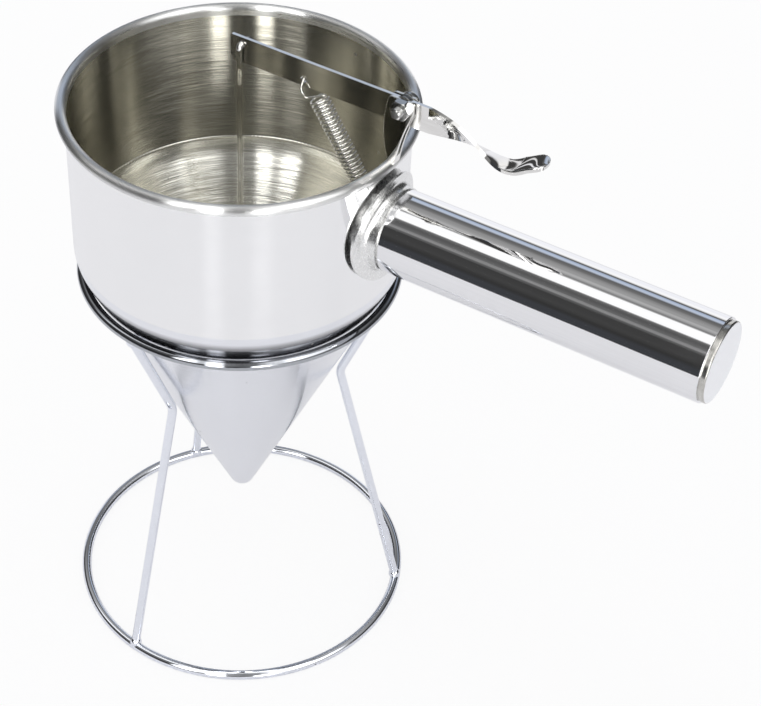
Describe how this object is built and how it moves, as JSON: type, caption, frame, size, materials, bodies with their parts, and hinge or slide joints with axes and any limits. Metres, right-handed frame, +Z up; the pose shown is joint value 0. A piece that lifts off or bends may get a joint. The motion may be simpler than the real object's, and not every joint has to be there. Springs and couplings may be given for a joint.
{
  "type": "dough dispenser",
  "caption": "Conical steel hopper with a tube handle and a sprung thumb lever that lifts a stopper from the outlet to portion dough or batter, resting in a wire stand",
  "frame": {"origin": "on the hopper's axis, on the surface that the stand's base ring rests on", "axes": "+Z up along the hopper's axis, +X along the handle, +Y to the left of someone who looks along the handle from the hopper"},
  "size_m": [0.2722, 0.143, 0.2771],
  "materials": {
    "chrome_wire": "bright chrome plate on round wire",
    "satin_steel": "fine turned satin with lines round the axis",
    "polished_steel": "mirror polish",
    "fastener_steel": "bright rolled steel",
    "spring_steel": "drawn wire",
    "rod_steel": "drawn wire"
  },
  "bodies": {
    "stand": {"base_ring": "chrome_wire", "top_ring": "chrome_wire", "leg_1": "chrome_wire", "leg_2": "chrome_wire", "leg_3": "chrome_wire", "foot_welds": "chrome_wire", "ring_welds": "chrome_wire"},
    "funnel": {"hopper_cup": "satin_steel", "hopper_cone": "polished_steel", "handle_flange": "polished_steel", "handle_tube": "polished_steel", "handle_end_cap": "satin_steel", "pivot_bracket": "polished_steel", "pivot_screw": "fastener_steel", "pivot_nut": "fastener_steel", "pivot_spacers": "fastener_steel", "spring_anchor": "polished_steel", "lever_spring": "spring_steel"},
    "lever": {"lever": "polished_steel"},
    "valve": {"pull_rod": "rod_steel", "stopper": "polished_steel"}
  },
  "joints": [
    {"name": "funnel_lift", "type": "slide", "parent": "stand", "child": "funnel", "axis": [0, 0, 1], "range_m": [0, 0.13]},
    {"name": "lever_pivot", "type": "hinge", "parent": "funnel", "child": "lever", "pos_m": [0.0703, 0, 0.27315], "axis": [0, 1, 0], "range_deg": [0, 10], "stiffness_Nm_per_rad": 0.6, "springref_deg": -20.05, "deforming": ["lever_spring"]},
    {"name": "rod_hang", "type": "hinge", "parent": "lever", "child": "valve", "pos_m": [0.0014, 0, 0.27335], "axis": [0, 1, 0], "range_deg": [-10, 0]}
  ],
  "couplings": [
    {"joint": "rod_hang", "follows": "lever_pivot", "ratio": -1}
  ]
}
